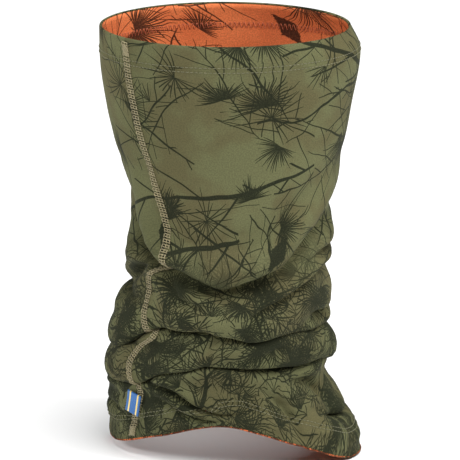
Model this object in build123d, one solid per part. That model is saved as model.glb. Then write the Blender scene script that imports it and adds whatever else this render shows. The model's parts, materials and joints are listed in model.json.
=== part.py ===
from build123d import *
import math
import os

# Reversible double-layer neck gaiter, standing on its lower hem. Millimetres, +Z up.
# The wearer's front faces -Y. The origin is under the middle of the tube, on the ground.

# Height and wall
HEIGHT = 309.0
SHELL_THICK = 1.2
LINING_THICK = 1.0
LAYER_GAP = 0.1

# Outline of the tube: height, left edge, right edge, half depth, turn in plan (degrees).
# It is wide at the rim, narrow at the neck and turned a little where it flares at the foot.
STATIONS = [
    (0.0, -85.0, 94.0, 63.0, -17.0),
    (45.0, -86.0, 75.0, 63.0, -8.0),
    (90.0, -87.0, 73.0, 67.0, 0.0),
    (130.0, -77.0, 72.0, 71.0, 0.0),
    (188.0, -71.0, 76.0, 72.0, 0.0),
    (249.0, -87.5, 86.0, 72.0, 0.0),
    (291.0, -92.5, 92.5, 72.0, 0.0),
    (HEIGHT, -92.5, 85.0, 71.0, 0.0),
]
SECTION_POINTS = 16

# Front of the lower hem, which arches up between the two sides: x, share of the rise
ARCH_POINTS = [(-82.0, 0.0), (-58.0, 0.52), (-8.0, 1.0), (48.0, 0.52), (86.0, 0.0)]
LINING_RISE = 28.5
SHELL_RISE = 30.5
TAPER = 0.0025

# Hems: two needle rows and the looper thread behind them
THREAD = 0.6
THREAD_LIFT = 0.05
HEM_DEPTH = 18.0
ROW_SPACING = 3.4
LOOPER_WIDTH = 4.0

# Flatlock seam, from rim to foot on the left of the front: x, height
SEAM_PATH = [
    (-73.0, HEIGHT),
    (-66.0, 249.0),
    (-50.0, 186.0),
    (-52.0, 142.0),
    (-62.0, 95.0),
    (-59.5, 45.0),
    (-63.0, 0.0),
]
SEAM_WIDTH = 5.0
TACK_LENGTH = 7.0
TACK_WIDTH = 6.4

# Woven label sewn into the seam by its right edge
LABEL_HEIGHT = 39.0
LABEL_EDGE_X = -63.5
LABEL_WIDTH = 11.5
LABEL_LENGTH = 17.5
LABEL_THICK = 0.8
LABEL_STANDOFF = 0.9
LABEL_SLANT = 1.1
LABEL_STITCHES = 5
LABEL_TACK = 1.6

REACH = 150.0
TO_FRONT = (0, -1, 0)


def section(station, offset):
    """One closed outline of the tube, moved outwards by offset."""
    height, left, right, half_depth, turn = station
    turn = math.radians(turn)
    middle = (left + right) / 2
    half_width = (right - left) / 2
    if turn:
        span = half_width ** 2 - (half_depth * math.sin(turn)) ** 2
        half_width = math.sqrt(span) / math.cos(turn)
    points = []
    for step in range(SECTION_POINTS):
        angle = 2 * math.pi * step / SECTION_POINTS
        along = (half_width + offset) * math.cos(angle)
        across = (half_depth + offset) * math.sin(angle)
        x = middle + along * math.cos(turn) - across * math.sin(turn)
        y = along * math.sin(turn) + across * math.cos(turn)
        points.append((x, y, height))
    return Face(Wire([Spline(points, periodic=True)]))


def tube(offset):
    """The tube as a full solid, with its surface moved outwards by offset."""
    return loft([section(station, offset) for station in STATIONS])


def slab(low, high):
    """Everything between two heights."""
    middle = (low + high) / 2
    return Pos(0, 0, middle) * Box(4 * REACH, 4 * REACH, high - low)


def hem_line(rise, lift):
    """Points of the front hem's line, raised by lift. The tube narrows by TAPER per millimetre up."""
    return [(x * (1 - TAPER * lift), share * rise + lift) for x, share in ARCH_POINTS]


def under_front_hem(rise):
    """Everything under the front of the lower hem."""
    line = hem_line(rise, 0)
    outline = Wire([Spline(line), Line(line[-1], (0, -REACH)), Line((0, -REACH), line[0])])
    return extrude(Plane.XZ * Face(outline), amount=REACH, dir=TO_FRONT)


def hem_band(low, high):
    """Everything between two distances from the lower hem, front and back."""
    lower = hem_line(SHELL_RISE, low)
    upper = hem_line(SHELL_RISE, high)
    outline = Wire([
        Line((-REACH, low), lower[0]),
        Spline(lower),
        Line(lower[-1], (REACH, low)),
        Line((REACH, low), (REACH, high)),
        Line((REACH, high), upper[-1]),
        Spline(upper[::-1]),
        Line(upper[0], (-REACH, high)),
        Line((-REACH, high), (-REACH, low)),
    ])
    front = extrude(Plane.XZ * Face(outline), amount=REACH, dir=TO_FRONT)
    back = Pos(0, REACH / 2, (low + high) / 2) * Box(2 * REACH, REACH, high - low)
    return front, back


def seam_strip(width, low, high):
    """A flat strip along the seam's path, standing in front of the tube, between two heights."""
    path = Spline(SEAM_PATH)
    left_side = []
    right_side = []
    steps = 24
    for step in range(steps + 1):
        point = path @ (step / steps)
        along = path % (step / steps)
        across = Vector(-along.Y, along.X, 0) * (width / 2)
        left_side.append(((point + across).X, (point + across).Y))
        right_side.append(((point - across).X, (point - across).Y))
    outline = Wire([
        Spline(left_side),
        Line(left_side[-1], right_side[-1]),
        Spline(right_side[::-1]),
        Line(right_side[0], left_side[0]),
    ])
    strip = extrude(Plane.XZ * Face(outline), amount=REACH, dir=TO_FRONT)
    return strip & slab(low, high)


def make_outer_shell(outer, shell_inner, lining_inner):
    """Printed jersey tube. Its top edge folds over the lining."""
    fold = HEIGHT - SHELL_THICK
    cavity = shell_inner & slab(-1, fold)
    mouth = lining_inner & slab(fold, HEIGHT + 1)
    return outer - cavity - mouth - under_front_hem(SHELL_RISE)


def make_lining(lining_outer, lining_inner):
    """Printed jersey tube inside the shell. It shows under the shell along the front hem."""
    body = lining_outer & slab(-1, HEIGHT - SHELL_THICK)
    return body - lining_inner - under_front_hem(LINING_RISE)


def make_ring(band, low, high):
    """Thread all the way round, between two heights."""
    return band & slab(low, high)


def make_hem_ring(band, low, high):
    """Thread all the way round, between two distances from the lower hem."""
    front, back = hem_band(low, high)
    return (band & front) + (band & back)


def on_front(outer, x, height):
    """Point of the tube's front at one place, with the direction out of the cloth."""
    ray = Axis((x, -REACH, height), (0, 1, 0))
    hits = []
    for face in outer.faces():
        hits.extend(face.find_intersection_points(ray))
    return min(hits, key=lambda hit: hit[0].Y)


def label_plane(outer):
    """Frame of the label: origin on its hinge line, X away from the seam, Y along the hinge, Z outwards."""
    upper = on_front(outer, LABEL_EDGE_X + LABEL_SLANT, LABEL_HEIGHT + LABEL_LENGTH / 2)[0]
    lower = on_front(outer, LABEL_EDGE_X - LABEL_SLANT, LABEL_HEIGHT - LABEL_LENGTH / 2)[0]
    outwards = on_front(outer, LABEL_EDGE_X, LABEL_HEIGHT)[1]
    hinge = (upper - lower).normalized()
    away = hinge.cross(outwards).normalized()
    if away.X > 0:
        away = away * -1
    outwards = away.cross(hinge).normalized()
    if outwards.Y > 0:
        outwards = outwards * -1
    origin = (upper + lower) * 0.5 + outwards * (LABEL_STANDOFF + LABEL_THICK / 2)
    return Plane(origin=origin, x_dir=away, z_dir=outwards)


def make_side_label(place):
    """Folded woven ribbon: two layers, closed at the free edge by the fold."""
    ribbon = Box(LABEL_WIDTH, LABEL_LENGTH, LABEL_THICK)
    free_edges = ribbon.edges().filter_by(Axis.Y).group_by(Axis.X)[-1]
    ribbon = fillet(free_edges, LABEL_THICK * 0.45)
    return place * Pos(LABEL_WIDTH / 2, 0, 0) * ribbon


def make_label_tack(place, band):
    """Short stitches that hold the label's edge in the seam."""
    stitches = []
    pitch = LABEL_LENGTH / LABEL_STITCHES
    for number in range(LABEL_STITCHES):
        along = pitch * (number + 0.5) - LABEL_LENGTH / 2
        stitch = place * Pos(LABEL_TACK / 2, along, 0) * Box(LABEL_TACK, THREAD, 4 * LABEL_STANDOFF)
        stitches.append(band & stitch)
    return stitches


def save(node, shape):
    """Write one node's solids."""
    solids = []
    for piece in shape if isinstance(shape, list) else [shape]:
        solids.extend(piece.solids())
    whole = Compound(children=solids) if len(solids) > 1 else solids[0]
    export_step(whole, f"parts/{node}.step")


def main():
    os.makedirs("parts", exist_ok=True)
    lining_offset = -SHELL_THICK - LAYER_GAP
    inside_offset = lining_offset - LINING_THICK
    outer = tube(0)
    shell_inner = tube(-SHELL_THICK)
    lining_outer = tube(lining_offset)
    lining_inner = tube(inside_offset)
    outside_band = tube(THREAD_LIFT + THREAD) - tube(THREAD_LIFT)
    inside_band = tube(inside_offset - THREAD_LIFT) - tube(inside_offset - THREAD_LIFT - THREAD)

    save("outer_shell", make_outer_shell(outer, shell_inner, lining_inner))
    save("lining", make_lining(lining_outer, lining_inner))

    hem_line_top = HEIGHT - HEM_DEPTH
    upper_row = hem_line_top + ROW_SPACING
    save("top_hem_thread_upper", make_ring(outside_band, upper_row, upper_row + THREAD))
    save("top_hem_thread_lower", make_ring(outside_band, hem_line_top, hem_line_top + THREAD))
    save("top_hem_looper_thread", make_ring(inside_band, hem_line_top, hem_line_top + LOOPER_WIDTH))

    hem_top = HEM_DEPTH + ROW_SPACING
    save("bottom_hem_thread_upper", make_hem_ring(outside_band, hem_top, hem_top + THREAD))
    save("bottom_hem_thread_lower", make_hem_ring(outside_band, HEM_DEPTH, HEM_DEPTH + THREAD))
    save("bottom_hem_looper_thread", make_hem_ring(inside_band, HEM_DEPTH, HEM_DEPTH + LOOPER_WIDTH))

    seam_foot = hem_top + 2 * THREAD
    seam_head = hem_line_top - THREAD
    above_hem = hem_band(seam_foot, HEIGHT)[0]
    seam = seam_strip(SEAM_WIDTH, 0, seam_head) & above_hem
    save("outer_seam_thread", outside_band & seam)
    save("lining_seam_thread", inside_band & seam)
    tack_low = upper_row + 2 * THREAD
    save("top_seam_tack", outside_band & seam_strip(TACK_WIDTH, tack_low, tack_low + TACK_LENGTH))
    tack_high = HEM_DEPTH - THREAD
    foot = hem_band(tack_high - TACK_LENGTH, tack_high)[0]
    save("bottom_seam_tack", outside_band & seam_strip(TACK_WIDTH, 0, HEIGHT) & foot)

    place = label_plane(outer)
    save("side_label", make_side_label(place))
    save("label_tack_thread", make_label_tack(place, outside_band))
    print("label hinge at", place.origin, "along", place.y_dir, "outwards", place.z_dir)


main()
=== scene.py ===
import json
import math

import bpy
import numpy as np
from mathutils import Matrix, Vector


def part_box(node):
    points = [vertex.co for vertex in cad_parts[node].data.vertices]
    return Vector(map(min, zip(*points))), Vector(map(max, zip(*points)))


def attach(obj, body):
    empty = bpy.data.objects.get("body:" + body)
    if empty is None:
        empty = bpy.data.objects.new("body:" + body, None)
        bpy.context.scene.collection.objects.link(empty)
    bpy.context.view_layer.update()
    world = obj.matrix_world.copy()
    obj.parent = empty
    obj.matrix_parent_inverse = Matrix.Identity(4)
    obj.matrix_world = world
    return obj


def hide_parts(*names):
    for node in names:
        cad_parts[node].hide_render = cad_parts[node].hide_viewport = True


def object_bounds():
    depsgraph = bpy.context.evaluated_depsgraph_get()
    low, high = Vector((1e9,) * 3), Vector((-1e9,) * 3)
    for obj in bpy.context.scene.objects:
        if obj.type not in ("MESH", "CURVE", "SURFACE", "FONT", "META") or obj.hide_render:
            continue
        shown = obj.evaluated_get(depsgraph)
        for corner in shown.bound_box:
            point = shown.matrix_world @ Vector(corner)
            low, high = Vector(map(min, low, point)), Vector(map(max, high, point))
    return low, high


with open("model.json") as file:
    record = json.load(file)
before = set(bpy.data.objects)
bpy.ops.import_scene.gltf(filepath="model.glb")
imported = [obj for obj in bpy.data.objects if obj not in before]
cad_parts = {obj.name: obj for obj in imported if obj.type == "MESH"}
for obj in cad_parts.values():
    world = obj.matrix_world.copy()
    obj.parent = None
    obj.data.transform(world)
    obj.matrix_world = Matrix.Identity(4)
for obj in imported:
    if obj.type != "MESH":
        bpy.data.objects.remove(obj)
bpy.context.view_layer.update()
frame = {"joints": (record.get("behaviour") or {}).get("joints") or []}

MM = 0.001

# ---------------------------------------------------------------- sizes (millimetres)
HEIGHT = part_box("outer_shell")[1].z / MM
ROUND = 500.0              # once round the cloth, as cut
CLOTH_LENGTH = 420.0       # rim to foot, as cut
HEM_DEPTH = 18.0
ROW_SPACING = 3.4
LAYERS = 1.5               # from the shell's face to the lining's
CLOTH_THICK = 0.8
FOOT_GAP = 0.7             # from the ground to the first row of cloth
RIM_ROLL = 1.3             # from the last row of cloth to the top of the rolled rim

# Stitches
NEEDLE_PITCH = 2.6
LOOPER_PITCH = 3.0
THREAD_RADIUS = 0.26
SEAM_WIDTH = 6.2
LINING_SEAM_WIDTH = 4.6
TACK_RUNGS = 9
TACK_PITCH = 0.8
LABEL_STITCHES = 7

# Knitted loops: across and up
WALE = 0.95
COURSE = 0.72

# Outline of the tube: height, left edge, right edge, half depth, turn in plan (degrees)
OUTLINE = [
    (0, -85, 94, 63, -17), (16, -87, 91, 63, -14), (30, -87, 83, 63, -11), (46, -85, 73, 63, -8),
    (62, -82, 66, 64, -4), (92, -81, 68, 67, 0), (112, -77, 66, 70, 0), (128, -71, 67, 72, 0),
    (158, -71, 68, 72, 0), (188, -72, 73, 72, 0), (249, -87.5, 86, 72, 0), (291, -92.5, 92.5, 72, 0),
    (HEIGHT, -92.5, 85, 71, 0),
]
ARCH_X = [-82, -58, -8, 48, 86]
ARCH_SHARE = [0.17, 0.56, 1, 0.52, 0]
ARCH_RISE = 30.5

# The side seam's place round the tube: height, degrees. The front is at -90, the left edge at -180.
SEAM_MEAN = -136.0
SEAM_TURN = [
    (0, -135), (26, -133), (48, -131), (62, -137), (74, -142), (88, -136), (97, -128), (104, -133),
    (122, -141), (138, -139), (150, -127), (172, -128), (204, -134), (260, -139), (HEIGHT, -143),
]

# Folds that run round the tube, mostly at the back and sides. Heights and depths are given every 45
# degrees, from the left edge through the front (third value), the right edge (fifth) and the back (seventh).
FOLDS = [
    dict(at=(196, 180, 150, 170, 190, 194, 186, 178), deep=(2, 0, 0, 0, 3, 8, 9, 8), width=8.5, droop=0.95),
    dict(at=(150, 146, 140, 150, 158, 166, 150, 142), deep=(1, 0, 0, 0, 5, 7, 4, 6), width=5.5, droop=0.6),
    dict(at=(120, 118, 112, 112, 113, 115, 124, 122), deep=(6, 0, 0, 0, 9, 8, 10, 6), width=6.5, droop=0.9),
    dict(at=(84, 88, 96, 98, 97, 94, 92, 86), deep=(9, 2, 0, 0, 3, 9, 9, 10), width=6.5, droop=0.9),
    dict(at=(59, 60, 72, 76, 76, 72, 66, 61), deep=(8, 2, 0, 0, 9, 9, 7, 8), width=5.5, droop=0.8),
    dict(at=(20, 14, 12, 26, 31, 40, 36, 28), deep=(2, 0, 0, 0, 4, 4, 5, 4), width=5.5, droop=0.4),
]

# Creases drawn on the front of the tube: a line through (x, height) points from left to right, the depth at
# each point, the width, and how far the cloth above hangs over. They carry on into the folds at the sides.
CREASES = [
    dict(line=[(-80, 212), (-75, 195), (-70, 178), (-63, 162), (-50, 149), (-30, 138), (-5, 132),
               (20, 135), (40, 146), (57, 163), (70, 177), (78, 190)],
         deep=(2, 8, 12, 13, 11, 13, 14, 15, 14, 10, 5, 2),
         width=(9, 9, 8, 6.5, 5.5, 8, 10, 10, 9.5, 9, 8, 7), droop=0.22),
    dict(line=[(-82, 116), (-73, 127), (-62, 141), (-52, 149)], deep=(6, 8, 7, 1), width=5.0, droop=0.5),
    dict(line=[(-90, 84), (-78, 89), (-62, 98), (-46, 105), (-18, 105), (12, 101), (48, 100), (66, 99),
               (78, 97)],
         deep=(7, 11, 12, 9, 9, 12, 11, 9, 5), width=6.0, droop=0.9),
    dict(line=[(-90, 59), (-80, 58), (-68, 62), (-48, 71), (-18, 80), (14, 75), (48, 72), (62, 75),
               (76, 77)],
         deep=(8, 9, 9, 12, 11, 8, 8, 9, 8), width=5.2, droop=0.8),
    dict(line=[(-2, 106), (14, 114), (30, 121), (46, 130), (60, 137), (76, 146)],
         deep=(2, 6, 8, 8, 7, 5), width=6.5, droop=0.5),
    dict(line=[(42, 141), (54, 147), (66, 153), (78, 159)], deep=(1, 5, 6, 4), width=4.5, droop=0.5),
    dict(line=[(30, 110), (48, 109), (64, 110), (78, 114)], deep=(1, 4, 7, 8), width=5.0, droop=0.7),
    dict(line=[(-44, 138), (-36, 126), (-20, 119), (-2, 117)], deep=(5, 6, 5, 1), width=6.0, droop=0.2),
    dict(line=[(-62, 62), (-46, 54), (-26, 46), (-6, 39), (14, 37)],
         deep=(3, 7, 7, 4, 0), width=3.2, droop=0.4),
    dict(line=[(-54, 47), (-36, 41), (-18, 35), (0, 33)], deep=(2, 4, 4, 0), width=2.6, droop=0.3),
    dict(line=[(-20, 88), (2, 84), (26, 84), (44, 87)], deep=(0, 4, 4, 0), width=4.0, droop=0.4),
    dict(line=[(34, 64), (50, 58), (64, 47), (76, 34), (88, 18)],
         deep=(1, 5, 7, 7, 4), width=5.5, droop=0.3),
    dict(line=[(54, 38), (68, 33), (82, 31), (92, 30)], deep=(0, 4, 6, 6), width=3.6, droop=0.5),
    dict(line=[(20, 60), (34, 48), (44, 34), (50, 22)], deep=(0, 4, 5, 2), width=6.0, droop=0.1),
    dict(line=[(-84, 33), (-74, 27), (-62, 24)], deep=(5, 4, 1), width=3.4, droop=0.3),
    dict(line=[(10, 158), (34, 176), (56, 196), (72, 214)], deep=(1, 4, 4, 1), width=13.0, droop=0.0),
    dict(line=[(-66, 232), (-60, 214), (-58, 200)], deep=(0, 2.5, 1), width=8.0, droop=0.0),
]

# Label, as the CAD model places it
LABEL_WIDTH = 11.5
LABEL_LENGTH = 17.5
LABEL_TURN = -131.0
LABEL_HEIGHT = 39.0


# ---------------------------------------------------------------- curves and noise
def smooth(xs, ys, x):
    """A smooth curve through the points, without overshoot."""
    xs = np.asarray(xs, float)
    ys = np.asarray(ys, float)
    x = np.clip(np.asarray(x, float), xs[0], xs[-1])
    step = np.diff(xs)
    slope = np.diff(ys) / step
    grade = np.zeros(len(xs))
    same = slope[:-1] * slope[1:] > 0
    mean = 2 * slope[:-1] * slope[1:] / np.where(same, slope[:-1] + slope[1:], 1)
    grade[1:-1] = np.where(same, mean, 0)
    grade[0] = slope[0]
    grade[-1] = slope[-1]
    i = np.clip(np.searchsorted(xs, x) - 1, 0, len(step) - 1)
    t = (x - xs[i]) / step[i]
    a = (1 + 2 * t) * (1 - t) ** 2
    b = t * (1 - t) ** 2
    c = t ** 2 * (3 - 2 * t)
    d = t ** 2 * (t - 1)
    return a * ys[i] + b * step[i] * grade[i] + c * ys[i + 1] + d * step[i] * grade[i + 1]


def around(values, phi):
    """A smooth closed curve through values spaced evenly round the tube, from the left edge on."""
    values = np.asarray(values, float)
    count = len(values)
    place = (phi + math.pi) / (2 * math.pi) * count
    i = np.floor(place).astype(int)
    t = place - i
    p0, p1, p2, p3 = (values[(i + k) % count] for k in (-1, 0, 1, 2))
    return p1 + 0.5 * t * (p2 - p0 + t * (2 * p0 - 5 * p1 + 4 * p2 - p3 + t * (3 * (p1 - p2) + p3 - p0)))


def ripples(phi, h, count, turns, lengths, seed):
    """A sum of soft waves over the cloth. turns: waves round the tube, lengths: wave length up it (mm)."""
    rng = np.random.default_rng(seed)
    total = np.zeros(np.broadcast(phi, h).shape)
    for _ in range(count):
        k = rng.integers(turns[0], turns[1] + 1)
        m = 2 * math.pi / rng.uniform(*lengths) * rng.choice((-1, 1))
        total += np.sin(k * phi + m * h + rng.uniform(0, 2 * math.pi)) * rng.uniform(0.5, 1)
    return total / math.sqrt(count)


def bump(x):
    """A smooth hump: 1 at x = 0, almost 0 beyond 2."""
    return np.exp(-x * x)


# ---------------------------------------------------------------- the cloth's shape
def outline(phi, h):
    """Place of the plain tube, with the direction out of it in plan."""
    hs, left, right, deep, turn = (np.array(column, float) for column in zip(*OUTLINE))
    left, right, deep, turn = (smooth(hs, column, h) for column in (left, right, deep, turn))
    turn = np.radians(turn)
    half = (right - left) / 2
    half = np.sqrt(half ** 2 - (deep * np.sin(turn)) ** 2) / np.cos(turn)
    middle = (left + right) / 2
    along, across = half * np.cos(phi), deep * np.sin(phi)
    out_x, out_y = np.cos(phi) / half, np.sin(phi) / deep
    size = np.hypot(out_x, out_y)
    out_x, out_y = out_x / size, out_y / size
    x = middle + along * np.cos(turn) - across * np.sin(turn)
    y = along * np.sin(turn) + across * np.cos(turn)
    return x, y, out_x * np.cos(turn) - out_y * np.sin(turn), out_x * np.sin(turn) + out_y * np.cos(turn)


def hem_height(phi):
    """How high the lower edge stands: it arches up in front."""
    x, y, _, _ = outline(phi, np.zeros_like(phi))
    front = np.clip((40 - y) / 36, 0, 1)
    return ARCH_RISE * smooth(ARCH_X, ARCH_SHARE, x) * front * front * (3 - 2 * front)


def calm(phi, h):
    """Where the cloth lies flat: under the label."""
    turn = np.angle(np.exp(1j * (phi - math.radians(LABEL_TURN - 3))))
    label = bump(turn / math.radians(18)) * bump((h - LABEL_HEIGHT) / 15)
    return 1 - np.clip(1.15 * label, 0, 1)


def crease_profile(s, deep, width, droop):
    """A crease at s = 0 with the cloth rolled out above and below it, and hanging down from above."""
    out = -deep / (1 + (s / (0.55 * width)) ** 2)
    out += 0.62 * deep * bump((s - 1.45 * width) / (1.1 * width))
    out += 0.4 * deep * bump((s + 1.5 * width) / (1.1 * width))
    return out, -droop * deep * bump((s - 0.95 * width) / (0.95 * width))


def drawn_crease(x, h, line, deep, width, droop):
    """How a crease drawn on the front moves the cloth at (x, h)."""
    points = np.array(line, float)
    best = np.full(x.shape, 1e9)
    side = np.zeros(x.shape)
    here = np.zeros(x.shape)
    for k in range(len(points) - 1):
        run = points[k + 1] - points[k]
        length = np.hypot(*run)
        t = np.clip(((x - points[k, 0]) * run[0] + (h - points[k, 1]) * run[1]) / length ** 2, 0, 1)
        dx, dh = x - points[k, 0] - t * run[0], h - points[k, 1] - t * run[1]
        away = np.hypot(dx, dh)
        closer = away < best
        best = np.where(closer, away, best)
        side = np.where(closer, np.sign(run[0] * dh - run[1] * dx), side)
        here = np.where(closer, k + t, here)
    depth = np.interp(here, np.arange(len(points)), deep)
    if isinstance(width, tuple):
        width = np.interp(here, np.arange(len(points)), width)
    return crease_profile(best * side, depth, width, droop)


def folded(phi, h):
    """How far the folds move the cloth: outwards and upwards."""
    shape = np.broadcast(phi, h).shape
    phi, h = np.broadcast_to(phi, shape), np.broadcast_to(h, shape)
    out = np.zeros(shape)
    up = np.zeros(shape)
    for number, fold in enumerate(FOLDS):
        wiggle = ripples(phi, 0 * h, 5, (3, 11), (1e4, 2e4), 20 + number) * 1.6
        s = h - around(fold["at"], phi) - wiggle
        vary = 1 + 0.22 * ripples(phi, h, 4, (2, 7), (60, 160), 40 + number)
        deep = np.clip(around(fold["deep"], phi), 0, None) * vary
        moved = crease_profile(s, deep, fold["width"], fold["droop"])
        out += moved[0]
        up += moved[1]
    x, _, _, out_y = outline(phi, h)
    front = np.clip(0.5 - out_y / 0.5, 0, 1)
    front = front * front * (3 - 2 * front)
    low_waves = ripples(phi, h, 6, (3, 9), (50, 120), 60) * 2.0
    for fold in CREASES:
        moved = drawn_crease(x, h + low_waves, fold["line"], fold["deep"], fold["width"], fold["droop"])
        out += moved[0] * front
        up += moved[1] * front
    lower = 1 / (1 + np.exp((h - 175) / 12))
    waves = ripples(phi, h, 12, (1, 5), (17, 38), 3)
    wrinkles = ripples(phi, h, 12, (2, 9), (8, 16), 4)
    out += lower * (0.9 * waves + 0.45 * wrinkles)
    out += (1 - lower) * 0.5 * ripples(phi, h, 8, (1, 5), (60, 200), 5)
    still = calm(phi, h)
    flat = still * np.clip(h / 12, 0, 1) ** 0.5
    return out * flat - 0.9 * (1 - still), up * flat


def cloth_point(u, share):
    """The shell's face at u (0 to 1 round from the seam) and share (0 at the foot to 1 at the rim)."""
    foot = FOOT_GAP + hem_height(math.radians(SEAM_MEAN) + 2 * math.pi * u)
    h = foot + (HEIGHT - RIM_ROLL - foot) * share
    hs, turns = zip(*SEAM_TURN)
    swing = np.radians(smooth(hs, turns, h) - SEAM_MEAN) * bump((u - np.round(u)) / 0.13)
    phi = math.radians(SEAM_MEAN) + 2 * math.pi * u + swing
    x, y, out_x, out_y = outline(phi, h)
    out, up = folded(phi, h)
    return np.stack([x + out * out_x, y + out * out_y, h + up], axis=-1)


def normals(grid):
    """Directions out of a closed grid of points (round, up, 3)."""
    round_it = np.roll(grid, -1, axis=0) - np.roll(grid, 1, axis=0)
    up_it = np.gradient(grid, axis=1)
    n = np.cross(round_it, up_it)
    return n / np.linalg.norm(n, axis=-1, keepdims=True)


class Cloth:
    """The folded cloth as a grid of points, which the stitches are laid on."""

    def __init__(self, columns, shares):
        self.u = np.arange(columns) / columns
        self.share = np.asarray(shares, float)
        self.grid = cloth_point(self.u[:, None], self.share[None, :])
        self.normal = normals(self.grid)
        step = np.linalg.norm(np.diff(self.grid, axis=1), axis=-1)
        self.down = np.cumsum(step[:, ::-1], axis=1)[:, ::-1]
        self.down = np.concatenate([self.down, np.zeros((columns, 1))], axis=1)

    def at(self, u, down):
        """Points and normals at u round the tube and down (mm of cloth) from the rim."""
        columns = len(self.u)
        place = np.asarray(u, float) % 1 * columns
        i = np.floor(place).astype(int) % columns
        t = place - np.floor(place)
        found = []
        for column, weight in ((i, 1 - t), ((i + 1) % columns, t)):
            row = np.empty(len(place))
            for k, c in enumerate(column):
                row[k] = np.interp(-down[k], -self.down[c], np.arange(len(self.share)))
            low = np.clip(np.floor(row).astype(int), 0, len(self.share) - 2)
            f = (row - low)[:, None]
            point = self.grid[column, low] * (1 - f) + self.grid[column, low + 1] * f
            normal = self.normal[column, low] * (1 - f) + self.normal[column, low + 1] * f
            found.append((point * weight[:, None], normal * weight[:, None]))
        point = found[0][0] + found[1][0]
        normal = found[0][1] + found[1][1]
        return point, normal / np.linalg.norm(normal, axis=1, keepdims=True)


# ---------------------------------------------------------------- mesh helpers
def add_mesh(name, points, faces, body="gaiter"):
    """A new piece from points in millimetres, riding on a body."""
    mesh = bpy.data.meshes.new(name)
    mesh.from_pydata((np.asarray(points) * MM).tolist(), [], faces)
    mesh.update()
    mesh.shade_smooth()
    piece = bpy.data.objects.new(name, mesh)
    bpy.context.scene.collection.objects.link(piece)
    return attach(piece, body)


def grid_faces(columns, rows):
    """Faces of a grid that closes on itself all the way round."""
    faces = []
    for i in range(columns):
        j = (i + 1) % columns
        for k in range(rows - 1):
            faces.append((i * rows + k, j * rows + k, j * rows + k + 1, i * rows + k + 1))
    return faces


def lay_print(piece, columns, rows, down):
    """UV map "cloth": metres round the cloth and metres up it, as it was printed before it was sewn."""
    layer = piece.data.uv_layers.new(name="cloth")
    loops = np.empty(len(piece.data.loops), int)
    piece.data.loops.foreach_get("vertex_index", loops)
    column, row = loops // rows, loops % rows
    sides = loops.reshape(-1, 4) // rows
    wraps = (sides.max(axis=1) - sides.min(axis=1)) > columns / 2
    column = np.where(np.repeat(wraps, 4) & (column == 0), columns, column)
    u = column / columns * ROUND * MM
    v = (CLOTH_LENGTH - down[loops // rows, row]) * MM
    layer.data.foreach_set("uv", np.stack([u, v], axis=1).astype(np.float32).ravel())


def thicken(piece, thick, offset):
    """Give a sheet its thickness (mm)."""
    solid = piece.modifiers.new("thickness", "SOLIDIFY")
    solid.thickness = thick * MM
    solid.offset = offset
    solid.use_even_offset = False


# ---------------------------------------------------------------- shader helpers
def rgb(r, g, b):
    """A colour given as 0-255 display values, in linear light."""
    def linear(c):
        c = c / 255
        return c / 12.92 if c <= 0.04045 else ((c + 0.055) / 1.055) ** 2.4
    return (linear(r), linear(g), linear(b), 1.0)


class Nodes:
    """Short names for the nodes of one material."""

    def __init__(self, name):
        self.material = bpy.data.materials.new(name)
        self.material.use_nodes = True
        self.tree = self.material.node_tree
        self.shader = self.tree.nodes["Principled BSDF"]

    def put(self, kind, inputs=None, **settings):
        """A new node. Each input is a value or another node's output."""
        node = self.tree.nodes.new(kind)
        for key, value in settings.items():
            setattr(node, key, value)
        for key, value in (inputs or {}).items():
            if isinstance(value, bpy.types.NodeSocket):
                self.tree.links.new(value, node.inputs[key])
            else:
                node.inputs[key].default_value = value
        return node

    def math(self, operation, a, b=None, c=None):
        inputs = {0: a}
        if b is not None:
            inputs[1] = b
        if c is not None:
            inputs[2] = c
        return self.put("ShaderNodeMath", inputs, operation=operation).outputs[0]

    def step(self, value, low, high, to_low=0.0, to_high=1.0):
        """Smooth step from to_low to to_high as value goes from low to high."""
        inputs = {"Value": value, "From Min": low, "From Max": high, "To Min": to_low, "To Max": to_high}
        return self.put("ShaderNodeMapRange", inputs, interpolation_type="SMOOTHSTEP").outputs[0]

    def vector(self, operation, a, b=None, scale=None):
        inputs = {0: a}
        if b is not None:
            inputs[1] = b
        if scale is not None:
            inputs["Scale"] = scale
        return self.put("ShaderNodeVectorMath", inputs, operation=operation)

    def noise(self, where, scale, detail=2.0, rough=0.5, dims="2D"):
        inputs = {"Vector": where, "Scale": scale, "Detail": detail, "Roughness": rough}
        return self.put("ShaderNodeTexNoise", inputs, noise_dimensions=dims)

    def dice(self, number, key, seed):
        """Three random values from 0 to 1 for each number and key."""
        place = self.put("ShaderNodeCombineXYZ", {0: number, 1: key, 2: float(seed)}).outputs[0]
        white = self.put("ShaderNodeTexWhiteNoise", {"Vector": place}, noise_dimensions="3D")
        return self.put("ShaderNodeSeparateColor", {0: white.outputs["Color"]}).outputs

    def mix(self, factor, a, b):
        node = self.put("ShaderNodeMix", data_type="RGBA")
        for key, value in ((0, factor), (6, a), (7, b)):
            if isinstance(value, bpy.types.NodeSocket):
                self.tree.links.new(value, node.inputs[key])
            else:
                node.inputs[key].default_value = value
        return node.outputs[2]

    def turned(self, x, y, turn):
        """x and y in axes turned by an angle."""
        cos, sin = self.math("COSINE", turn), self.math("SINE", turn)
        a = self.math("ADD", self.math("MULTIPLY", x, cos), self.math("MULTIPLY", y, sin))
        b = self.math("SUBTRACT", self.math("MULTIPLY", y, cos), self.math("MULTIPLY", x, sin))
        return a, b

    def link(self, value, socket):
        self.tree.links.new(value, self.shader.inputs[socket])


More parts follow.
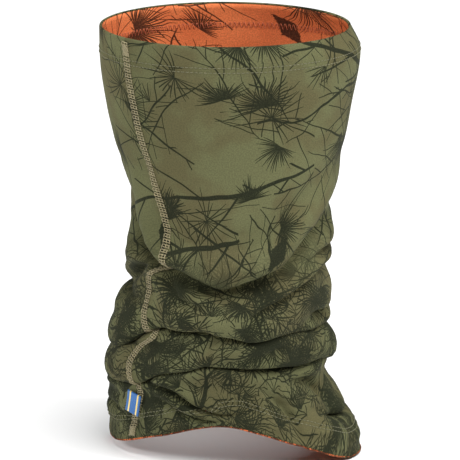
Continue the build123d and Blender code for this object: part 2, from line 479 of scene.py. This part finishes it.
def cells(n, where, size, seed, jitter=0.9):
    """Scattered centres: the place from the nearest one (mm), its random colour channels."""
    moved = n.vector("ADD", where, (seed * 17.3, seed * 29.1, 0)).outputs[0]
    scatter = n.put("ShaderNodeTexVoronoi", {"Vector": moved, "Scale": 1 / size, "Randomness": jitter},
                    voronoi_dimensions="2D", feature="F1")
    centre = scatter.outputs["Position"]
    local = n.vector("SUBTRACT", moved, centre).outputs[0]
    channels = n.put("ShaderNodeSeparateColor", {0: scatter.outputs["Color"]})
    place = n.put("ShaderNodeSeparateXYZ", {0: local})
    return place.outputs[0], place.outputs[1], channels.outputs


def needles(n, where, size, seed, count, reach, width, share):
    """Bursts of pine needles, one in each cell that is chosen."""
    x, y, random = cells(n, where, size, seed)
    r = n.math("SQRT", n.math("ADD", n.math("MULTIPLY", x, x), n.math("MULTIPLY", y, y)))
    angle = n.math("ARCTAN2", y, x)
    bend = n.math("MULTIPLY", n.math("SUBTRACT", random[1], 0.5), n.math("MULTIPLY", r, 0.018))
    offset = n.math("MULTIPLY", random[0], 60.0)
    turn = n.math("MULTIPLY_ADD", n.math("ADD", angle, bend), count / (2 * math.pi), offset)
    number = n.math("FLOOR", turn)
    dice = n.dice(number, n.math("MULTIPLY", random[0], 90.0), seed)
    aside = n.math("SUBTRACT", n.math("SUBTRACT", turn, number), n.math("MULTIPLY_ADD", dice[0], 0.5, 0.25))
    gap = n.math("MULTIPLY", n.math("ABSOLUTE", aside), n.math("MULTIPLY", r, 2 * math.pi / count))
    longest = n.math("MULTIPLY_ADD", random[2], 0.5 * reach, 0.6 * reach)
    length = n.math("MULTIPLY", n.math("MULTIPLY_ADD", dice[1], 0.5, 0.5), longest)
    thin = n.math("MULTIPLY", n.step(n.math("DIVIDE", r, length), 0.55, 1.0, width, 0.15 * width), 0.5)
    thin = n.math("MULTIPLY", thin, n.step(r, 0.0, 9.0, 0.45, 1.0))
    line = n.step(n.math("SUBTRACT", gap, thin), 0.0, 0.28, 1.0, 0.0)
    inside = n.step(n.math("SUBTRACT", length, r), 0.0, 0.5)
    facing = n.math("MULTIPLY_ADD", random[1], 2 * math.pi, -math.pi)
    off_axis = n.math("COSINE", n.math("SUBTRACT", angle, facing))
    open_fan = n.math("MULTIPLY_ADD", random[2], -1.9, 0.75)
    sector = n.step(n.math("SUBTRACT", off_axis, open_fan), -0.06, 0.04)
    chosen = n.math("LESS_THAN", random[0], share)
    drawn = n.math("MULTIPLY", n.math("MULTIPLY", line, inside), n.math("MULTIPLY", sector, chosen))
    heart = n.math("MULTIPLY", n.step(r, 0.4, 1.6, 0.9, 0.0), n.math("MULTIPLY", chosen, sector))
    return n.math("MAXIMUM", drawn, heart)


def twigs(n, where, size, seed, width, share, pitch, wave=3.0):
    """Bent stems with shorter twigs on both sides, one in each cell that is chosen."""
    x, y, random = cells(n, where, size, seed, 0.8)
    a, b = n.turned(x, y, n.math("MULTIPLY", random[0], 2 * math.pi))
    wobble = n.noise(where, 0.022, 2.0, 0.45).outputs["Fac"]
    b = n.math("MULTIPLY_ADD", n.math("SUBTRACT", wobble, 0.5), 2.2 * wave, b)
    phase = n.math("MULTIPLY", random[1], 6.0)
    sway = n.math("SINE", n.math("MULTIPLY_ADD", a, 2.6 / size, phase))
    b = n.math("SUBTRACT", b, n.math("MULTIPLY", sway, wave))
    side = n.math("ABSOLUTE", b)
    along = n.math("ABSOLUTE", a)
    swell = n.math("MULTIPLY", n.step(along, 0.1 * size, 0.62 * size, width, 0.3 * width), 0.5)
    stem = n.step(n.math("SUBTRACT", side, swell), -0.1, 0.25, 1.0, 0.0)
    lean = n.math("SUBTRACT", a, n.math("MULTIPLY", side, 1.25))
    shift = n.math("MULTIPLY", n.math("GREATER_THAN", b, 0.0), 0.5)
    beat = n.math("ADD", n.math("DIVIDE", lean, pitch), shift)
    number = n.math("FLOOR", beat)
    dice = n.dice(number, n.math("MULTIPLY_ADD", random[2], 50.0, shift), seed)
    off = n.math("SUBTRACT", n.math("SUBTRACT", beat, number), n.math("MULTIPLY_ADD", dice[2], 0.4, 0.3))
    apart = n.math("MULTIPLY", n.math("ABSOLUTE", off), pitch * 0.62)
    long = n.math("MULTIPLY", dice[1], 0.34 * size)
    thin = n.step(side, 0.0, 0.3 * size, 0.22 * width, 0.12)
    twig = n.step(n.math("SUBTRACT", apart, thin), 0.0, 0.28, 1.0, 0.0)
    twig = n.math("MULTIPLY", twig, n.math("LESS_THAN", side, long))
    drawn = n.math("MAXIMUM", stem, twig)
    ends = n.math("LESS_THAN", along, n.math("MULTIPLY_ADD", random[1], 0.25 * size, 0.3 * size))
    chosen = n.math("LESS_THAN", random[2], share)
    return n.math("MULTIPLY", n.math("MULTIPLY", drawn, ends), chosen)


def leaves(n, where, size, seed, share):
    """A few solid leaves: leaning diamonds with uneven edges."""
    x, y, random = cells(n, where, size, seed)
    a, b = n.turned(x, y, n.math("MULTIPLY_ADD", random[0], 1.2, 0.3))
    uneven = n.noise(where, 0.5, 3.0, 0.7).outputs["Fac"]
    edge = n.math("MULTIPLY", n.math("SUBTRACT", uneven, 0.5), 0.5)
    lengthwise = n.math("DIVIDE", n.math("ABSOLUTE", a), 0.17 * size)
    sideways = n.math("DIVIDE", n.math("ABSOLUTE", b), 0.075 * size)
    shape = n.math("ADD", lengthwise, sideways)
    leaf = n.step(n.math("ADD", shape, edge), 0.95, 1.08, 1.0, 0.0)
    return n.math("MULTIPLY", leaf, n.math("LESS_THAN", random[2], share))


def pine_print(n, where):
    """The whole printed pattern: 1 where the dark ink is."""
    place = n.put("ShaderNodeSeparateXYZ", {0: where}).outputs
    low = n.step(place[1], 215.0, 290.0, 1.0, 0.0)
    bend = n.noise(where, 0.03, 2.0, 0.5)
    centred = n.vector("SUBTRACT", bend.outputs["Color"], (0.5, 0.5, 0.5)).outputs[0]
    warp = n.vector("SCALE", centred, scale=14.0).outputs[0]
    soft = n.vector("ADD", where, warp).outputs[0]
    layers = [
        needles(n, where, 72.0, 1, 54, 24.0, 0.6, 0.75),
        needles(n, soft, 92.0, 2, 60, 36.0, 0.6, 0.6),
        needles(n, where, 60.0, 3, 22, 30.0, 0.55, 0.7),
        twigs(n, where, 170.0, 4, 3.8, 0.7, 29.0, 5.0),
        twigs(n, where, 120.0, 5, 1.5, 0.9, 26.0, 6.0),
        twigs(n, where, 96.0, 6, 1.1, 0.9, 20.0, 7.0),
        twigs(n, soft, 140.0, 12, 2.0, 0.85, 36.0, 7.0),
        twigs(n, where, 84.0, 17, 0.9, 0.9, 17.0, 6.0),
        twigs(n, where, 130.0, 18, 1.3, 0.95, 33.0, 4.0),
        needles(n, where, 86.0, 21, 50, 26.0, 0.55, 0.85),
        twigs(n, where, 74.0, 22, 1.0, 0.9, 22.0, 5.0),
        twigs(n, where, 190.0, 23, 2.6, 0.9, 41.0, 4.0),
        leaves(n, where, 90.0, 7, 0.3),
    ]
    crowded = [
        needles(n, soft, 40.0, 8, 44, 30.0, 0.7, 0.85),
        needles(n, where, 46.0, 9, 36, 36.0, 0.7, 0.85),
        needles(n, where, 33.0, 13, 26, 28.0, 0.6, 0.85),
        needles(n, soft, 27.0, 14, 11, 32.0, 0.75, 0.95),
        needles(n, where, 24.0, 16, 16, 26.0, 0.6, 0.8),
        needles(n, soft, 20.0, 19, 9, 24.0, 0.6, 0.8),
        twigs(n, where, 62.0, 10, 1.5, 0.9, 13.0, 5.0),
        twigs(n, soft, 100.0, 15, 3.4, 0.75, 24.0, 6.0),
    ]
    ink = layers[0]
    for layer in layers[1:]:
        ink = n.math("MAXIMUM", ink, layer)
    for layer in crowded:
        ink = n.math("MAXIMUM", ink, n.math("MULTIPLY", layer, low))
    return ink


def knit(n, where):
    """Height of the knitted loops: columns of V stitches."""
    place = n.put("ShaderNodeSeparateXYZ", {0: where}).outputs
    wale = n.math("FRACT", n.math("DIVIDE", place[0], WALE))
    arm = n.math("ABSOLUTE", n.math("SUBTRACT", wale, 0.5))
    rise = n.math("ADD", n.math("DIVIDE", place[1], COURSE), n.math("MULTIPLY", arm, 0.9))
    course = n.math("SINE", n.math("MULTIPLY", rise, 2 * math.pi))
    ridge = n.math("SINE", n.math("MULTIPLY", arm, 2 * math.pi))
    return n.math("ADD", n.math("MULTIPLY", ridge, 0.5), n.math("MULTIPLY", course, 0.35))


def jersey(name, ground, second, shade, ink_colour, ink_strength):
    """Printed knitted jersey."""
    n = Nodes(name)
    cloth = n.put("ShaderNodeUVMap", uv_map="cloth").outputs[0]
    where = n.vector("SCALE", cloth, scale=1000.0).outputs[0]
    patch = n.noise(where, 0.02, 3.0, 0.6).outputs["Fac"]
    colour = n.mix(n.step(patch, 0.38, 0.62), ground, second)
    dye = n.noise(where, 0.006, 2.0, 0.5).outputs["Fac"]
    colour = n.mix(n.step(dye, 0.35, 0.7, 0.0, 0.5), colour, shade)
    heather = n.noise(where, 0.95, 2.0, 0.6).outputs["Fac"]
    colour = n.mix(n.step(heather, 0.3, 0.7, 0.3, 0.0), colour, (0.02, 0.022, 0.012, 1))
    ink = pine_print(n, where)
    uneven = n.noise(where, 0.9, 3.0, 0.7).outputs["Fac"]
    ink = n.math("MULTIPLY", ink, n.step(uneven, 0.25, 0.6, 0.85 * ink_strength, ink_strength))
    colour = n.mix(ink, colour, ink_colour)
    loops = knit(n, where)
    fibre = n.noise(where, 2.4, 3.0, 0.7).outputs["Fac"]
    weave = n.math("ADD", n.math("MULTIPLY", loops, 0.5), fibre)
    # Painted shade: the colour is darkened towards near-black where the knitted loops are low, in the
    # hollows between them; the fibre noise in the same height adds random darker tone as well.
    colour = n.mix(n.step(weave, 0.1, 1.1, 0.24, 0.0), colour, (0.02, 0.02, 0.012, 1))
    n.link(colour, "Base Color")
    n.link(n.step(fibre, 0.3, 0.7, 0.78, 0.95), "Roughness")
    n.shader.inputs["Specular IOR Level"].default_value = 0.15
    n.shader.inputs["Sheen Weight"].default_value = 0.1
    n.shader.inputs["Sheen Roughness"].default_value = 0.5
    n.shader.inputs["Sheen Tint"].default_value = ground
    height = n.put("ShaderNodeBump", {"Strength": 0.35, "Distance": 0.0004, "Height": weave})
    n.link(height.outputs[0], "Normal")
    return n.material


def thread(name, light, dark):
    """Twisted sewing thread."""
    twist = 1400.0
    n = Nodes(name)
    place = n.put("ShaderNodeNewGeometry").outputs["Position"]
    strands = n.noise(place, twist, 2.0, 0.6, "3D").outputs["Fac"]
    patch = n.noise(place, 120.0, 2.0, 0.5, "3D").outputs["Fac"]
    colour = n.mix(n.step(strands, 0.3, 0.7), dark, light)
    colour = n.mix(n.step(patch, 0.35, 0.65, 0.0, 0.35), colour, dark)
    n.link(colour, "Base Color")
    n.link(n.step(strands, 0.3, 0.7, 0.7, 0.5), "Roughness")
    n.shader.inputs["Sheen Weight"].default_value = 0.15
    bump_node = n.put("ShaderNodeBump", {"Strength": 0.5, "Distance": 0.0002, "Height": strands})
    n.link(bump_node.outputs[0], "Normal")
    return n.material


def ribbon_weave(name):
    """Woven label: blue ground with a narrow yellow stripe beside each long edge and fine satin ribs."""
    n = Nodes(name)
    place = n.put("ShaderNodeUVMap", uv_map="ribbon").outputs[0]
    x, y, _ = n.put("ShaderNodeSeparateXYZ", {0: place}).outputs
    ribs = n.math("SINE", n.math("MULTIPLY", y, 2 * math.pi / 0.45))
    wefts = n.math("SINE", n.math("MULTIPLY", x, 2 * math.pi / 0.38))
    ragged = n.math("MULTIPLY_ADD", ribs, 0.08, x)
    off = n.math("ABSOLUTE", n.math("SUBTRACT", ragged, LABEL_WIDTH * 0.5))
    stripe = n.math("MULTIPLY", n.step(off, 2.7, 2.9), n.step(off, 3.9, 4.1, 1.0, 0.0))
    fleck = n.noise(place, 1.8, 2.0, 0.6).outputs["Fac"]
    blue = n.mix(n.step(fleck, 0.3, 0.7), rgb(14, 82, 150), rgb(30, 108, 176))
    yellow = n.mix(n.step(fleck, 0.3, 0.7), rgb(236, 200, 84), rgb(250, 224, 128))
    n.link(n.mix(stripe, blue, yellow), "Base Color")
    n.shader.inputs["Roughness"].default_value = 0.55
    n.shader.inputs["Sheen Weight"].default_value = 0.2
    weave = n.math("MULTIPLY", ribs, wefts)
    height = n.put("ShaderNodeBump", {"Strength": 0.4, "Distance": 0.0002, "Height": weave})
    n.link(height.outputs[0], "Normal")
    return n.material


# ---------------------------------------------------------------- the pieces
COLUMNS = 288
SHARES = np.concatenate([np.linspace(0, 0.6, 128), np.linspace(0.6, 1, 36)[1:]])
cloth = Cloth(COLUMNS, SHARES)


def roll(grid, normal, radius, turns, top):
    """Rows that turn the cloth's edge inwards round a small roll. turns: degrees, in the grid's order."""
    edge = grid[:, -1] if top else grid[:, 0]
    n = normal[:, -1] if top else normal[:, 0]
    rows = []
    way = np.array([0, 0, 1.0 if top else -1.0])
    for angle in turns:
        a = math.radians(angle)
        rows.append(edge - n * radius * (1 - math.cos(a)) + way * radius * math.sin(a))
    return np.stack(rows, axis=1)


def make_shell():
    """Green jersey: the folded tube, with both edges turned in."""
    top = roll(cloth.grid, cloth.normal, 1.1, (40, 80, 120, 160), True)
    foot = roll(cloth.grid, cloth.normal, 0.5, (150, 90, 40), False)
    grid = np.concatenate([foot, cloth.grid, top], axis=1)
    down = np.concatenate([cloth.down[:, :1] + np.array([[1.4, 0.9, 0.4]]), cloth.down,
                           -np.array([[0.8, 1.5, 2.3, 3.1]]).repeat(COLUMNS, axis=0)], axis=1)
    rows = grid.shape[1]
    piece = add_mesh("outer_jersey", grid.reshape(-1, 3), grid_faces(COLUMNS, rows))
    lay_print(piece, COLUMNS, rows, down)
    thicken(piece, CLOTH_THICK, -1)
    greens = rgb(102, 103, 70), rgb(94, 89, 59), rgb(78, 80, 51)
    piece.data.materials.append(jersey("olive_print_jersey", *greens, rgb(22, 27, 13), 0.98))
    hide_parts("outer_shell")
    return piece


def make_lining():
    """Orange jersey just inside the shell. Its lower edge turns out under the shell's."""
    level, upright = np.array([1, 1, 0]), np.array([0, 0, 1])
    inside = cloth.grid - cloth.normal * LAYERS
    inside[:, :, 2] = np.maximum(inside[:, :, 2], 1.0)
    lift = cloth.grid[:, :1, 2]
    drop = np.clip(lift / 6, 0, 1) - 0.3
    edge = inside[:, 0] * level + upright * (lift - drop)
    out = cloth.normal[:, 0] * level
    rolled = ((1.2, 0.9), (0.9, 0.25), (0.3, 0.0), (0.0, 0.3))
    below = np.stack([edge + out * away + upright * up for away, up in rolled], axis=1)
    grid = np.concatenate([below, inside[:, 1:]], axis=1)
    rows = grid.shape[1]
    down = np.concatenate([cloth.down[:, :1] + np.array([[3.4, 2.8, 2.2, 1.4]]), cloth.down[:, 1:]], axis=1)
    piece = add_mesh("lining_jersey_tube", grid.reshape(-1, 3), grid_faces(COLUMNS, rows))
    lay_print(piece, COLUMNS, rows, down)
    thicken(piece, CLOTH_THICK * 0.7, -1)
    oranges = rgb(240, 134, 80), rgb(228, 120, 70), rgb(206, 106, 64)
    piece.data.materials.append(jersey("orange_print_jersey", *oranges, rgb(44, 22, 12), 0.97))
    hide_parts("lining")
    return piece


def frames(points, normal):
    """Directions along and across a line of points."""
    along = np.gradient(points, axis=0)
    along /= np.linalg.norm(along, axis=1, keepdims=True)
    across = np.cross(normal, along)
    across /= np.linalg.norm(across, axis=1, keepdims=True)
    return along, across


def tubes(name, paths, radius, sides=6):
    """Many short lengths of thread as one piece. Each path is points (mm) with their own normals."""
    points, faces = [], []
    for path, normal in paths:
        along, across = frames(path, normal)
        out = np.cross(along, across)
        base = len(points)
        count = len(path)
        for k in range(count):
            taper = 0.35 if k in (0, count - 1) else 1.0
            for s in range(sides):
                a = 2 * math.pi * s / sides
                points.append(path[k] + radius * taper * (math.cos(a) * across[k] + math.sin(a) * out[k]))
        for k in range(count - 1):
            here = base + k * sides
            after = here + sides
            for s in range(sides):
                t = (s + 1) % sides
                faces.append((here + s, here + t, after + t, after + s))
        faces.append(tuple(base + s for s in range(sides))[::-1])
        faces.append(tuple(base + (count - 1) * sides + s for s in range(sides)))
    return add_mesh(name, np.array(points), faces)


def needle_row(name, down_of, node, material):
    """A row of lock stitches round the tube: short stitches with a gap between each."""
    count = int(ROUND / NEEDLE_PITCH)
    lift = 0.1 + 0.2 * np.sin(np.linspace(0, math.pi, 5))
    paths = []
    for k in range(count):
        u = k / count + np.linspace(0, 0.74, 5) * NEEDLE_PITCH / ROUND
        point, normal = cloth.at(u, down_of(u))
        paths.append((point + normal * lift[:, None], normal))
    piece = tubes(name, paths, THREAD_RADIUS)
    piece.data.materials.append(material)
    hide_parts(node)


def zigzag_row(name, down_of, node, material):
    """The looper's side of the same seam, on the lining: a zigzag between the two needle rows."""
    across = np.array([0.5, 0.5, -0.5, -0.5, 0.5]) * (ROW_SPACING + 0.6)
    lift = np.array([0.12, 0.3, 0.12, 0.3, 0.12])
    paths = []
    for k in range(int(ROUND / LOOPER_PITCH)):
        u = (k + np.array([0, 0.18, 0.5, 0.68, 1.0])) * LOOPER_PITCH / ROUND
        point, normal = cloth.at(u, down_of(u) + across)
        paths.append((point - normal * (LAYERS + 0.5 + lift[:, None]), -normal))
    piece = tubes(name, paths, THREAD_RADIUS, 5)
    piece.data.materials.append(material)
    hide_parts(node)


def cloth_length_at(u):
    """Length of cloth (mm) from rim to foot at u round the tube."""
    lengths = np.append(cloth.down[:, 0], cloth.down[0, 0])
    return np.interp(np.asarray(u) % 1, np.append(cloth.u, 1.0), lengths)


def rim_line(down):
    """A line round the tube at one distance (mm of cloth) below the rim."""
    return lambda u: np.full(np.shape(u), down)


def foot_line(up):
    """A line round the tube at one distance (mm of cloth) above the foot."""
    return lambda u: cloth_length_at(u) - up


def make_hems(green, orange):
    """Cover stitch over both hems."""
    rim_lower, foot_lower = rim_line(HEM_DEPTH), foot_line(HEM_DEPTH)
    rim_upper, foot_upper = rim_line(HEM_DEPTH - ROW_SPACING), foot_line(HEM_DEPTH + ROW_SPACING)
    half = ROW_SPACING / 2
    rim_middle, foot_middle = rim_line(HEM_DEPTH - half), foot_line(HEM_DEPTH + half)
    needle_row("rim_stitches_lower", rim_lower, "top_hem_thread_lower", green)
    needle_row("rim_stitches_upper", rim_upper, "top_hem_thread_upper", green)
    needle_row("foot_stitches_lower", foot_lower, "bottom_hem_thread_lower", green)
    needle_row("foot_stitches_upper", foot_upper, "bottom_hem_thread_upper", green)
    zigzag_row("rim_looper", rim_middle, "top_hem_looper_thread", orange)
    zigzag_row("foot_looper", foot_middle, "bottom_hem_looper_thread", orange)


def ladder(down_from, down_to, pitch, width, inner=False):
    """Flatlock threads across a seam: slanted rungs with chained loops along both sides and the middle."""
    slant = 0.45 * pitch
    rung = np.array([-0.5, -0.3, 0.0, 0.3, 0.5]) * width
    rung_lift = np.array([0.1, 0.38, 0.42, 0.38, 0.1])
    chain_lift = np.array([0.3, 0.66, 0.66, 0.3])
    paths = []
    for k in range(int((down_to - down_from) / pitch)):
        down = down_from + k * pitch
        downs = down + np.array([0, 0.3, 0.5, 0.7, 1.0]) * slant
        paths.append(seam_points(rung, downs, rung_lift, inner))
        if k % 2 == 0:
            downs = down + np.linspace(0, 1.75, 4) * pitch
            for lane in (-0.5, 0.0, 0.5):
                paths.append(seam_points(np.full(4, lane * (width - 1.0)), downs, chain_lift, inner))
    return paths


def seam_points(side, downs, lift, inner):
    """Points at a distance to the side of the seam (mm) and down from the rim."""
    point, normal = cloth.at(side / ROUND, downs)
    if inner:
        return point - normal * (LAYERS + 0.5 + lift[:, None]), -normal
    return point + normal * lift[:, None], normal


def make_seams(beige, orange):
    """The side seam's threads, outside and inside, and the tacks at its ends."""
    length = float(cloth_length_at(0.0))
    outer = tubes("side_seam_flatlock", ladder(1.5, length - 1.0, 1.9, SEAM_WIDTH), 0.36, 5)
    outer.data.materials.append(beige)
    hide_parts("outer_seam_thread")
    inside = ladder(3.0, length - 2.0, 1.6, LINING_SEAM_WIDTH, True)
    inner = tubes("lining_seam_flatlock", inside, 0.3, 5)
    inner.data.materials.append(orange)
    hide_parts("lining_seam_thread")
    side = np.array([-0.5, -0.25, 0.25, 0.5]) * SEAM_WIDTH
    lift = np.array([0.3, 0.85, 0.85, 0.3])
    ends = (("rim_bar_tack", "top_seam_tack", 4.0), ("foot_bar_tack", "bottom_seam_tack", length - 11.0))
    for name, node, start in ends:
        rungs = []
        for k in range(TACK_RUNGS):
            downs = start + TACK_PITCH * k + np.array([0, 0.1, 0.3, 0.4])
            rungs.append(seam_points(side, downs, lift, False))
        tack = tubes(name, rungs, 0.34, 6)
        tack.data.materials.append(beige)
        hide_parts(node)


def label_frame():
    """The hinge's middle, and the directions away from the seam, along the hinge and outwards."""
    joint = frame["joints"][0]
    middle = np.array(joint["pos_m"]) / MM
    along = np.array(joint["axis"], float)
    along /= np.linalg.norm(along)
    low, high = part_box("side_label")
    centre = np.array((low + high) / 2) / MM
    away = centre - middle
    away -= along * (away @ along)
    away /= np.linalg.norm(away)
    out = np.cross(along, away)
    if out[1] > 0:
        out = -out
    return middle, away, along, out


def make_label(weave, beige):
    """A ribbon folded double at its free edge, gently bowed, with its stitches."""
    middle, away, along, out = label_frame()
    across_steps = 15
    profile = []
    for k in range(across_steps):
        t = k / (across_steps - 1)
        profile.append((t * LABEL_WIDTH, 0.24 + 0.12 * math.sin(math.pi * t) + 0.25 * t * t))
    for k in range(1, 6):
        a = math.pi * k / 6
        profile.append((LABEL_WIDTH + 0.3 * math.sin(a), 0.25 + 0.3 * math.cos(a)))
    for k in range(across_steps):
        t = 1 - k / (across_steps - 1)
        profile.append((t * LABEL_WIDTH, -0.24 - 0.06 * math.sin(math.pi * t) + 0.1 * t * t))
    rows = 24
    points, spots = [], []
    for i in range(rows):
        v = (i / (rows - 1) - 0.5) * LABEL_LENGTH
        curl = 0.35 * (2 * v / LABEL_LENGTH) ** 2
        for x, height in profile:
            bow = height + curl * (x / LABEL_WIDTH)
            points.append(middle + away * x + along * v + out * bow)
            spots.append((x, v))
    count = len(profile)
    faces = []
    for i in range(rows - 1):
        for k in range(count - 1):
            faces.append((i * count + k, i * count + k + 1, (i + 1) * count + k + 1, (i + 1) * count + k))
    piece = add_mesh("woven_side_label", points, faces, "label")
    layer = piece.data.uv_layers.new(name="ribbon")
    for loop in piece.data.loops:
        layer.data[loop.index].uv = spots[loop.vertex_index]
    thicken(piece, 0.22, 0)
    piece.data.materials.append(weave)
    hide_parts("side_label")
    stitches = []
    arc = ((-1.5, -0.9), (-1.1, -0.15), (-0.6, -0.2), (-0.25, -0.75))
    for k in range(LABEL_STITCHES):
        v = (k / (LABEL_STITCHES - 1) - 0.5) * (LABEL_LENGTH - 2)
        line = np.array([middle + away * x + along * (v + 0.15 * x) + out * z for x, z in arc])
        stitches.append((line, np.repeat(out[None], len(arc), axis=0)))
    tack = tubes("label_tack_stitches", stitches, 0.2, 6)
    tack.data.materials.append(beige)
    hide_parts("label_tack_thread")


# ---------------------------------------------------------------- floor, light and camera
def make_floor():
    """A plain pale floor just under the tube."""
    bpy.ops.mesh.primitive_plane_add(size=12.0, location=(0, 0, -0.0005))
    floor = bpy.context.object
    floor.name = "studio_floor"
    n = Nodes("pale_floor")
    n.shader.inputs["Base Color"].default_value = (0.9, 0.9, 0.9, 1)
    n.shader.inputs["Roughness"].default_value = 0.9
    n.shader.inputs["Specular IOR Level"].default_value = 0.1
    floor.data.materials.append(n.material)


def area_light(name, place, aim, size, power):
    """A round soft box. Places are in metres."""
    light = bpy.data.lights.new(name, "AREA")
    light.shape = "DISK"
    light.size = size
    light.energy = power
    lamp = bpy.data.objects.new(name, light)
    lamp.location = place
    lamp.rotation_euler = (Vector(aim) - Vector(place)).to_track_quat("-Z", "Y").to_euler()
    bpy.context.scene.collection.objects.link(lamp)


def make_lights():
    """A big soft light from above and three soft boxes. The world is seen white but lights only a little."""
    world_light = 0.18
    world = bpy.data.worlds.new("studio")
    bpy.context.scene.world = world
    world.use_nodes = True
    background = world.node_tree.nodes["Background"]
    background.inputs[0].default_value = (1, 1, 1, 1)
    seen = world.node_tree.nodes.new("ShaderNodeLightPath")
    strength = world.node_tree.nodes.new("ShaderNodeMath")
    strength.operation = "MULTIPLY_ADD"
    strength.inputs[1].default_value = 1 - world_light
    strength.inputs[2].default_value = world_light
    world.node_tree.links.new(seen.outputs["Is Camera Ray"], strength.inputs[0])
    world.node_tree.links.new(strength.outputs[0], background.inputs[1])
    sky = bpy.data.lights.new("overhead", "SUN")
    sky.energy = 3.3
    sky.angle = math.radians(50)
    lamp = bpy.data.objects.new("overhead", sky)
    lamp.rotation_euler = (math.radians(16), math.radians(12), 0)
    bpy.context.scene.collection.objects.link(lamp)
    area_light("key", (1.5, -0.7, 1.15), (0, 0, 0.2), 0.5, 20)
    area_light("left", (-1.6, -0.5, 1.0), (0, 0, 0.25), 0.6, 18)
    area_light("front", (0.1, -1.3, 1.7), (0, 0, 0.27), 0.4, 3)
    bpy.context.scene.view_settings.view_transform = "Standard"


def make_camera():
    """A long lens a little above the rim's level, with the whole tube just inside the picture."""
    low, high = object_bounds()
    elevation = math.radians(14.6)
    distance = 6.0
    aim = Vector((0.0, 0.0, (high.z + low.z) / 2 + 0.0037))
    view_height = 0.3275
    data = bpy.data.cameras.new("camera")
    data.sensor_width = 36
    data.lens = data.sensor_width * distance / view_height
    data.clip_start = 0.05
    camera = bpy.data.objects.new("camera", data)
    camera.location = aim + Vector((0, -distance * math.cos(elevation), distance * math.sin(elevation)))
    camera.rotation_euler = (aim - camera.location).to_track_quat("-Z", "Y").to_euler()
    bpy.context.scene.collection.objects.link(camera)
    bpy.context.scene.camera = camera


make_camera()
make_lights()
make_floor()
shell = make_shell()
lining = make_lining()
olive_thread = thread("olive_thread", rgb(118, 114, 82), rgb(80, 80, 52))
beige_thread = thread("beige_thread", rgb(162, 150, 112), rgb(112, 104, 72))
orange_thread = thread("orange_thread", rgb(224, 118, 72), rgb(150, 70, 38))
make_hems(olive_thread, orange_thread)
make_seams(beige_thread, orange_thread)
make_label(ribbon_weave("blue_yellow_ribbon"), beige_thread)
